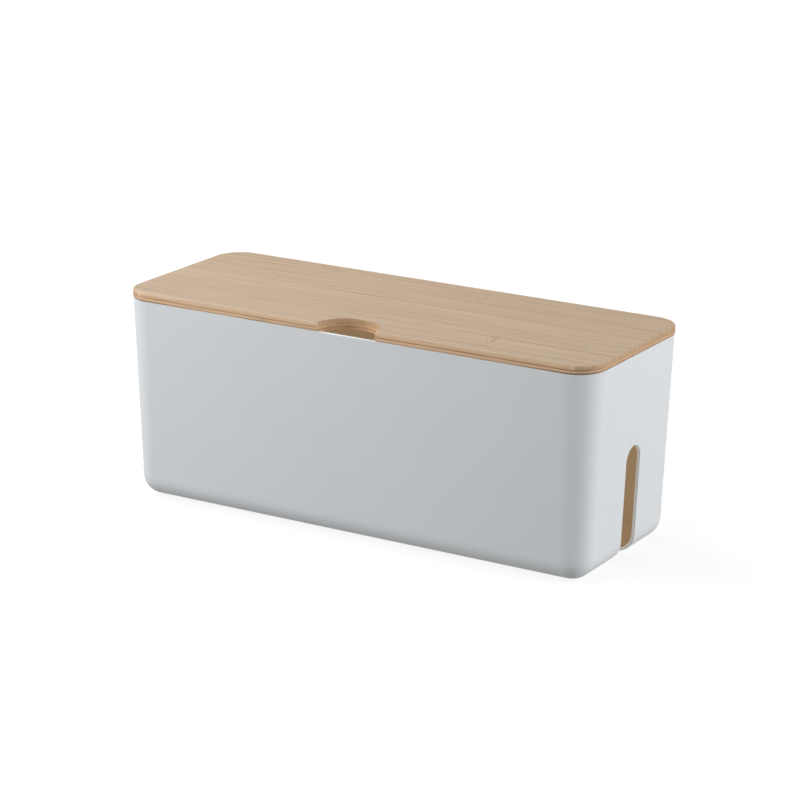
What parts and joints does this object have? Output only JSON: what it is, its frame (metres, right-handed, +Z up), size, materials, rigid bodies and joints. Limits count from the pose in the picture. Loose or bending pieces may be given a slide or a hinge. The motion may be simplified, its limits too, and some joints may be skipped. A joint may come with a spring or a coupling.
{
  "type": "cable box",
  "caption": "Oblong cable box with tapered rounded walls, a round-topped cable slot at each end, and a lift-off bamboo lid with a half-round finger notch.",
  "frame": {"origin": "middle of the footprint, on the surface that the feet stand on", "axes": "+X along the box, +Z up, the lid's finger notch towards -Y"},
  "size_m": [0.3314, 0.1248, 0.1373],
  "materials": {
    "white_plastic": "fine matte moulded white",
    "bamboo_top": "bamboo strips, sanded, clear matte lacquer",
    "bamboo_under": "bamboo strips, sanded, clear matte lacquer",
    "rubber": "soft grey rubber"
  },
  "bodies": {
    "box": {"box_shell": "white_plastic", "foot_front_left": "rubber", "foot_front_right": "rubber", "foot_rear_left": "rubber", "foot_rear_right": "rubber"},
    "lid": {"upper_front_left": "bamboo_top", "upper_front_right": "bamboo_top", "upper_strip_1": "bamboo_top", "upper_strip_2": "bamboo_top", "upper_strip_3": "bamboo_top", "upper_strip_4": "bamboo_top", "upper_strip_5": "bamboo_top", "upper_strip_6": "bamboo_top", "lower_front_left": "bamboo_under", "lower_front_right": "bamboo_under", "lower_strip_1": "bamboo_under", "lower_strip_2": "bamboo_under", "lower_strip_3": "bamboo_under", "lower_strip_4": "bamboo_under", "lower_strip_5": "bamboo_under"}
  },
  "joints": [
    {"name": "lid_lift", "type": "slide", "parent": "box", "child": "lid", "axis": [0, 0, 1], "range_m": [0, 0.16]}
  ]
}
